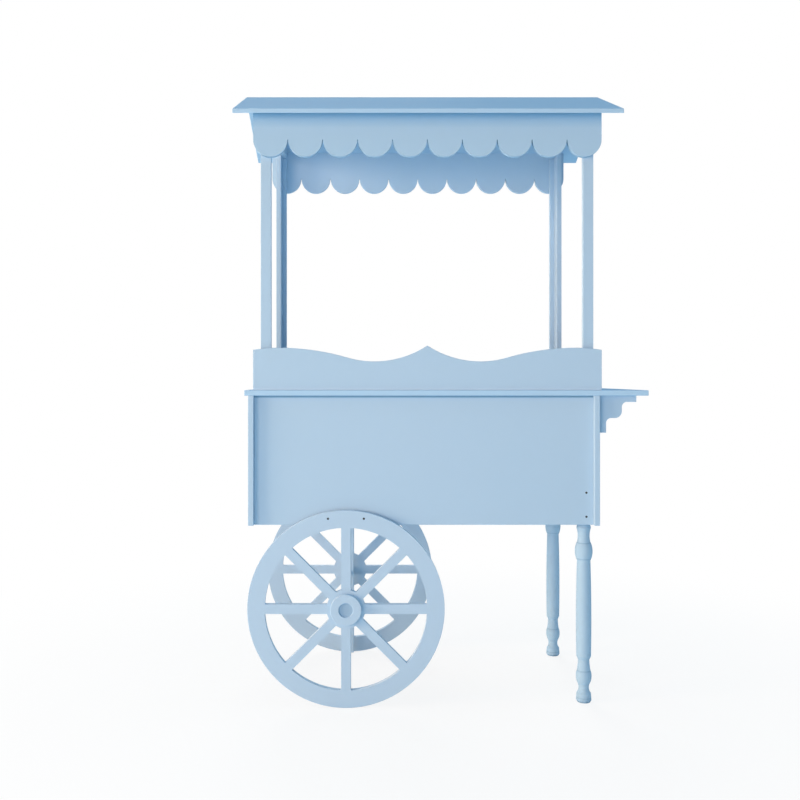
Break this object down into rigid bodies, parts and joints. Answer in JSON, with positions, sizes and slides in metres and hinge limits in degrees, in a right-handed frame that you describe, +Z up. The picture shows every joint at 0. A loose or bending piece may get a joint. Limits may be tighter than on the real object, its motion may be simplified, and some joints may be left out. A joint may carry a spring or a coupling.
{
  "type": "candy cart",
  "caption": "Candy cart: painted board cabinet on spoked wheels and turned legs, with a serving counter, side shelf, wavy front board and gabled canopy with scalloped valances.",
  "frame": {"origin": "on the floor, under the middle of the cart's whole length and depth", "axes": "+Z up, +X along the counter towards the side shelf, -Y towards the serving front"},
  "size_m": [1.22, 0.632, 1.8809],
  "materials": {
    "painted_board": "satin pastel blue paint over smooth board",
    "painted_turning": "satin pastel blue paint over turned wood",
    "axle_steel": "bright drawn steel",
    "bush_nylon": "natural nylon, matt",
    "screw_black": "black oxide"
  },
  "bodies": {
    "cart": {"axle": "axle_steel", "bottom_board": "painted_board", "front_axle_clip": "axle_steel", "front_axle_spacer": "bush_nylon", "front_left_post_face": "painted_board", "front_left_post_side": "painted_board", "front_leg_block": "painted_board", "front_leg_bolt": "axle_steel", "front_leg_screws": "screw_black", "front_panel": "painted_board", "front_right_post_face": "painted_board", "front_right_post_side": "painted_board", "front_roof_board": "painted_board", "front_shelf_bracket": "painted_board", "front_top_cleat": "painted_board", "front_turned_leg": "painted_turning", "front_valance": "painted_board", "front_wheel_leg": "painted_board", "left_gable": "painted_board", "left_side_panel": "painted_board", "left_top_cleat": "painted_board", "parapet": "painted_board", "rear_axle_clip": "axle_steel", "rear_axle_spacer": "bush_nylon", "rear_bottom_rail": "painted_board", "rear_left_post_face": "painted_board", "rear_left_post_side": "painted_board", "rear_leg_block": "painted_board", "rear_leg_bolt": "axle_steel", "rear_leg_screws": "screw_black", "rear_right_post_face": "painted_board", "rear_right_post_side": "painted_board", "rear_roof_board": "painted_board", "rear_shelf_bracket": "painted_board", "rear_top_rail": "painted_board", "rear_turned_leg": "painted_turning", "rear_valance": "painted_board", "rear_wheel_leg": "painted_board", "ridge_batten": "painted_board", "right_gable": "painted_board", "right_side_panel": "painted_board", "right_top_cleat": "painted_board", "tabletop": "painted_board"},
    "front_wheel_set": {"front_wheel": "painted_board", "front_wheel_bush": "bush_nylon", "front_hub_disc": "painted_board", "front_hub_cap": "painted_board", "front_rim_screws": "screw_black"},
    "rear_wheel_set": {"rear_wheel": "painted_board", "rear_wheel_bush": "bush_nylon", "rear_hub_disc": "painted_board", "rear_hub_cap": "painted_board", "rear_rim_screws": "screw_black"}
  },
  "joints": [
    {"name": "front_wheel_spin", "type": "hinge", "parent": "cart", "child": "front_wheel_set", "pos_m": [-0.28, -0.282, 0.29], "axis": [0, 1, 0], "continuous": true},
    {"name": "rear_wheel_spin", "type": "hinge", "parent": "cart", "child": "rear_wheel_set", "pos_m": [-0.28, 0.282, 0.29], "axis": [0, 1, 0], "continuous": true}
  ]
}
